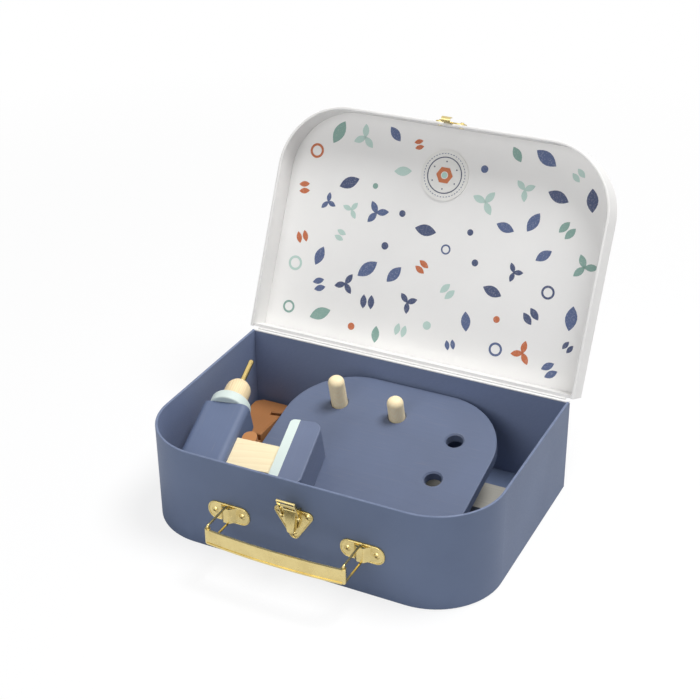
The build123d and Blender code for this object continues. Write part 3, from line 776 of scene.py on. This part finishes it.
def makePatch():
    design = patchDesign
    middle = (0, 0)
    dark = threadInk("patchDark", tone(58, 66, 92))
    rust = threadInk("patchRust", tone(190, 112, 72))
    mint = threadInk("patchMint", tone(168, 200, 190))
    thread = threadInk("patchThread", tone(96, 108, 138))
    onFace = insideLid(printDesign["patchAcross"], -printDesign["patchFront"], design["face"])
    tree, identifiers = stitchTree()
    stitches = meshObject("patchStitches", [(0, 0, 0)])
    runTree(stitches, tree, identifiers, {
        "Radius": design["stitchRadius"] * mm, "Count": design["stitches"], "Length": design["stitchLong"] * mm,
        "Width": design["stitchWide"] * mm, "Material": thread}, onFace)
    placeOn(stitches, "lid")
    half = design["ringWide"] / 2
    flatShape("patchRing", roundLoop(middle, design["ringRadius"] + half, design["ringCorners"]),
              roundLoop(middle, design["ringRadius"] - half, design["ringCorners"]), dark,
              design["ringThick"], onFace)
    flatShape("patchNut", hexagon(design["nutRadius"], design["nutCorners"]),
              roundLoop(middle, design["nutHole"], design["nutCorners"]), rust, design["nutThick"], onFace)
    bolt = roundLoop(middle, design["nutHole"] - design["boltGap"], design["boltCorners"])
    flatShape("patchBolt", bolt, [], mint, design["boltThick"], onFace)
    for i in range(design["dots"]):
        centre = circlePoint(middle, design["dotRing"], 2 * math.pi * (i + 0.5) / design["dots"])
        dot = roundLoop(centre, design["dotRadius"], design["dotCorners"])
        flatShape(f"patchDot{i + 1}", dot, [], dark, design["ringThick"], onFace)
    print("patch made")


makePatch()


# pressed borders on the sheet metal plates

borderDesign = {
    "inset": 0.75,
    "radius": 0.48,
    "sides": 10,
    "arcSteps": 10,
    "case": -95.9,              # front of the plates on the base, and of the one on the shut lid
    "lid": -98.5,
    "saddleSpread": 54.5,
    "saddleUp": 37.0,
    "saddleLong": 35.0,
    "saddleWide": 15.2,
    "saddleCorner": 6.25,
    "catchUp": 83.3,
    "catchLong": 26.0,
    "catchWide": 9.0,
    "catchCorner": 3.1,
    "lobes": [(0, 35.6), (11.6, 53.4), (-11.6, 53.4)],
    "lobeRadius": 4.0,
}


def beadTree():
    # a round bead along the edges of a mesh
    tree, start, identifiers = newTree("pressedBorder", {"Radius": "Float", "Material": "Material"})
    path = addNode(tree, "GeometryNodeMeshToCurve", {"Mesh": start["Geometry"]}).outputs[0]
    section = addNode(tree, "GeometryNodeCurvePrimitiveCircle", {
        "Resolution": borderDesign["sides"], "Radius": start["Radius"]}).outputs[0]
    bead = addNode(tree, "GeometryNodeCurveToMesh", {"Curve": path, "Profile Curve": section}).outputs[0]
    closeTree(tree, bead, start["Material"])
    return tree, identifiers


def hullLoop(centres, radius):
    # the outline round circles that stand at the corners of a convex shape, anticlockwise
    steps = borderDesign["arcSteps"]
    points = []
    for i, centre in enumerate(centres):
        before, after = centres[i - 1], centres[(i + 1) % len(centres)]
        first = math.atan2(centre[1] - before[1], centre[0] - before[0]) - math.pi / 2
        last = math.atan2(after[1] - centre[1], after[0] - centre[0]) - math.pi / 2
        while last < first:
            last += 2 * math.pi
        for step in range(steps + 1):
            points.append(circlePoint(centre, radius, first + (last - first) * step / steps))
    return points


def plateLoop(centre, length, width, corner):
    # a plate's outline moved in by the border's inset
    inset = borderDesign["inset"]
    x, z = (length - 2 * inset) / 2 - corner, (width - 2 * inset) / 2 - corner
    signs = ((-1, -1), (1, -1), (1, 1), (-1, 1))
    return hullLoop([(centre[0] + x * side, centre[1] + z * end) for side, end in signs], corner)


def makeBorders():
    design = borderDesign
    tree, identifiers = beadTree()
    saddle = (design["saddleLong"], design["saddleWide"], design["saddleCorner"])
    catch = (design["catchLong"], design["catchWide"], design["catchCorner"])
    borders = {
        "leftSaddleBorder": ("case", plateLoop((-design["saddleSpread"], design["saddleUp"]), *saddle)),
        "rightSaddleBorder": ("case", plateLoop((design["saddleSpread"], design["saddleUp"]), *saddle)),
        "latchPlateBorder": ("case", hullLoop(design["lobes"], design["lobeRadius"] - design["inset"])),
        "catchPlateBorder": ("lid", plateLoop((0, design["catchUp"]), *catch)),
    }
    for name, (body, outline) in borders.items():
        count = len(outline)
        points = [(x * mm, design[body] * mm, z * mm) for x, z in outline]
        piece = meshObject(name, points, edges=[(i, (i + 1) % count) for i in range(count)])
        runTree(piece, tree, identifiers, {"Radius": design["radius"] * mm, "Material": brass}, placeOf[body])
        placeOn(piece, body)
    print("borders pressed")


makeBorders()


# each rivet's head is rolled round a hollow middle, whose floor is painted dark brass: painted shade

eyeDesign = {
    "hollow": 0.95,
    "rim": 1.2,
    "rimRadius": 0.28,
    "proud": 1.13,              # from the plate's face to the hollow's floor
    "corners": 20,
    "case": [(-65.9, 37.0), (-43.1, 37.0), (43.1, 37.0), (65.9, 37.0), (-11.6, 53.4), (11.6, 53.4), (0.0, 35.6)],
    "lid": [(-9.3, 83.3), (9.3, 83.3)],
}


def makeEyes():
    design = eyeDesign
    count = design["corners"]
    tree, identifiers = beadTree()
    for body in ("case", "lid"):
        y = (borderDesign[body] - design["proud"]) * mm
        rims, edges, floors, faces = [], [], [], []
        for centre in design[body]:
            start = len(rims)
            rims += [(x * mm, y, z * mm) for x, z in roundLoop(centre, design["rim"], count)]
            floors += [(x * mm, y, z * mm) for x, z in roundLoop(centre, design["hollow"], count)]
            edges += [(start + i, start + (i + 1) % count) for i in range(count)]
            faces.append(tuple(range(start, start + count)))
        rim = meshObject(body + "RivetRims", rims, edges=edges)
        runTree(rim, tree, identifiers, {"Radius": design["rimRadius"] * mm, "Material": brass}, placeOf[body])
        placeOn(rim, body)
        # the hollows' floors, flat discs of dark brass: painted shade
        eyes = meshObject(body + "RivetHollows", floors, faces=faces)
        eyes.data.transform(placeOf[body])
        eyes.data.materials.append(hollowShadeBrass)
        placeOn(eyes, body)
    print("rivets hollowed")


makeEyes()


# camera, floor and light

cameraDesign = {
    "place": (0.423970, -0.846574, 0.662213),
    "right": (0.89585, 0.44425, -0.00977),
    "up": (-0.20717, 0.43703, 0.87526),
    "back": (0.39310, -0.78208, 0.48355),
    "lens": 75.39,
    "sensor": 36.0,
    "nearest": 0.05,
    "furthest": 20.0,
}

floorDesign = {
    "half": 6.0,
    "drop": 0.0003,             # just under the case, so that the two faces don't fight
    "patches": 3.0,
    "dark": tone(243, 243, 244),
    "light": tone(247, 247, 248),
    "shadedTo": 0.3,            # metres from the middle at which the sheet starts to whiten
    "whiteFrom": 1.1,
    "glowShare": 0.8,
}

lightDesign = {
    "world": 0.24,
    "aim": (0, 0.05, 0.08),
    "lamps": {
        "key": {"place": (0.55, 0.3, 1.85), "size": 0.9, "power": 33.0},
        "front": {"place": (-0.3, -1.8, 1.0), "size": 1.5, "power": 13.0},
    },
}


white = (1, 1, 1, 1)


def makeCamera():
    design = cameraDesign
    camera = bpy.data.objects.new("camera", bpy.data.cameras.new("camera"))
    camera.data.lens, camera.data.sensor_width = design["lens"], design["sensor"]
    camera.data.clip_start, camera.data.clip_end = design["nearest"], design["furthest"]
    axes = Matrix([design["right"], design["up"], design["back"]]).transposed()
    camera.matrix_world = Matrix.Translation(design["place"]) @ axes.to_4x4()
    bpy.context.scene.collection.objects.link(camera)
    bpy.context.scene.camera = camera


def floorFinish():
    # the sheet whitens away from the case, where no shadow falls
    design = floorDesign
    material = bpy.data.materials.new("floorPaper")
    material.use_nodes = True
    tree = material.node_tree
    tree.nodes.clear()
    place = addNode(tree, "ShaderNodeTexCoord").outputs["Object"]
    shade = blendColours(tree, cloud(tree, place, design["patches"]), design["dark"], design["light"])
    plain = addNode(tree, "ShaderNodeBsdfDiffuse", {"Color": shade}).outputs[0]
    glow = addNode(tree, "ShaderNodeEmission", {"Color": white, "Strength": 1.0}).outputs[0]
    seen = addNode(tree, "ShaderNodeLightPath").outputs["Is Camera Ray"]
    away = addNode(tree, "ShaderNodeVectorMath", {0: place}, operation="LENGTH").outputs["Value"]
    whiter = remap(tree, away, design["shadedTo"], design["whiteFrom"], design["glowShare"], 1.0)
    mixed = addNode(tree, "ShaderNodeMixShader", {0: calc(tree, "MULTIPLY", seen, whiter), 1: plain, 2: glow})
    addNode(tree, "ShaderNodeOutputMaterial", {"Surface": mixed.outputs[0]})
    return material


def makeFloor():
    half, height = floorDesign["half"], -floorDesign["drop"]
    floor = meshObject("floor", [(-half, -half, height), (half, -half, height), (half, half, height),
                                 (-half, half, height)], faces=[(0, 1, 2, 3)])
    floor.data.materials.append(floorFinish())


def makeWorld():
    # white to the camera and to gloss, and a soft fill for the rest
    world = bpy.data.worlds.new("studio")
    bpy.context.scene.world = world
    world.use_nodes = True
    tree = world.node_tree
    tree.nodes.clear()
    seen = addNode(tree, "ShaderNodeLightPath").outputs
    shown = calc(tree, "MAXIMUM", seen["Is Camera Ray"], seen["Is Glossy Ray"])
    strength = calc(tree, "MULTIPLY_ADD", shown, 1.0 - lightDesign["world"], lightDesign["world"])
    sky = addNode(tree, "ShaderNodeBackground", {"Color": white, "Strength": strength}).outputs[0]
    addNode(tree, "ShaderNodeOutputWorld", {"Surface": sky})


def makeLamp(name, place, size, power):
    lamp = bpy.data.lights.new(name, "AREA")
    lamp.shape, lamp.size, lamp.energy = "DISK", size, power
    light = bpy.data.objects.new(name, lamp)
    light.location = place
    light.rotation_mode = "QUATERNION"
    light.rotation_quaternion = (Vector(lightDesign["aim"]) - Vector(place)).to_track_quat("-Z", "Y")
    bpy.context.scene.collection.objects.link(light)


makeCamera()
makeFloor()
makeWorld()
for lampName, lamp in lightDesign["lamps"].items():
    makeLamp(lampName, **lamp)
bpy.context.scene.view_settings.view_transform = "Standard"
print("stage set")
